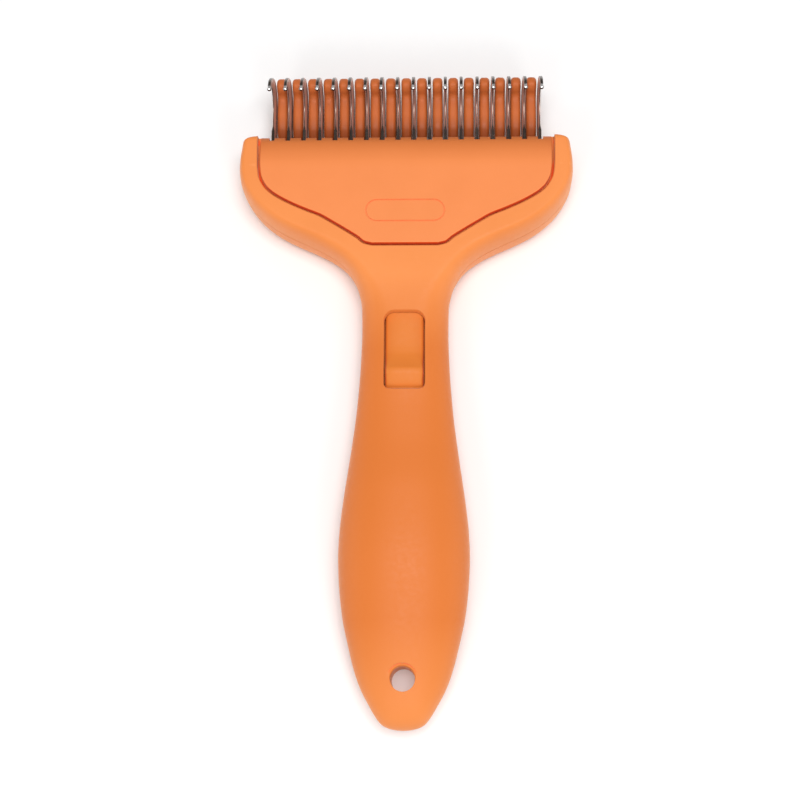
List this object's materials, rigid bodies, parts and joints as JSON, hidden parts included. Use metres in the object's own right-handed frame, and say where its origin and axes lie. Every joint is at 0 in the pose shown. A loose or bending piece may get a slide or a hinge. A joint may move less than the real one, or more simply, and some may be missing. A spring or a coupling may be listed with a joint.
{
  "type": "deshedding tool",
  "caption": "T-shaped hand tool whose thumb slider pushes hooked steel blades out between fixed guard fingers, with a hanging hole in its handle.",
  "frame": {"origin": "middle of the base of the whole tool, lying on its back on a flat surface", "axes": "+Y along the handle towards the blades, +Z out of the front face, away from the surface it lies on, +X to the right seen from the front"},
  "size_m": [0.0906, 0.1757, 0.0249],
  "materials": {
    "shell_plastic": "satin orange moulded ABS",
    "cover_plastic": "satin orange moulded ABS, fine grain",
    "comb_plastic": "satin deep orange moulded ABS",
    "slider_plastic": "satin orange moulded ABS",
    "blade_steel": "ground and brushed stainless steel",
    "rod_steel": "drawn steel",
    "spring_steel": "spring wire",
    "screw_zinc": "zinc plated steel",
    "inner_plastic": "natural acetal"
  },
  "bodies": {
    "handle": {"front_shell": "shell_plastic", "rear_shell": "shell_plastic", "head_cover": "cover_plastic", "guard_comb": "comb_plastic", "shell_screw_1": "screw_zinc", "shell_screw_2": "screw_zinc", "shell_screw_3": "screw_zinc", "shell_screw_4": "screw_zinc"},
    "blade_unit": {"blade_carriage": "inner_plastic", "blade_rod_lower": "rod_steel", "blade_rod_upper": "rod_steel", "slider_spring": "spring_steel", "blade_01": "blade_steel", "blade_02": "blade_steel", "blade_03": "blade_steel", "blade_04": "blade_steel", "blade_05": "blade_steel", "blade_06": "blade_steel", "blade_07": "blade_steel", "blade_08": "blade_steel", "blade_09": "blade_steel", "blade_10": "blade_steel", "blade_11": "blade_steel", "blade_12": "blade_steel", "blade_13": "blade_steel", "blade_14": "blade_steel", "blade_15": "blade_steel", "blade_16": "blade_steel", "blade_17": "blade_steel", "blade_18": "blade_steel"},
    "thumb_button": {"thumb_slider": "slider_plastic"}
  },
  "joints": [
    {"name": "carriage_slide", "type": "slide", "parent": "handle", "child": "blade_unit", "axis": [0, 1, 0], "range_m": [0, 0.008]},
    {"name": "slider_press", "type": "slide", "parent": "blade_unit", "child": "thumb_button", "axis": [0, 0, -1], "range_m": [0, 0.0012], "stiffness_N_per_m": 400, "springref_m": -0.004, "deforming": ["slider_spring"]}
  ]
}
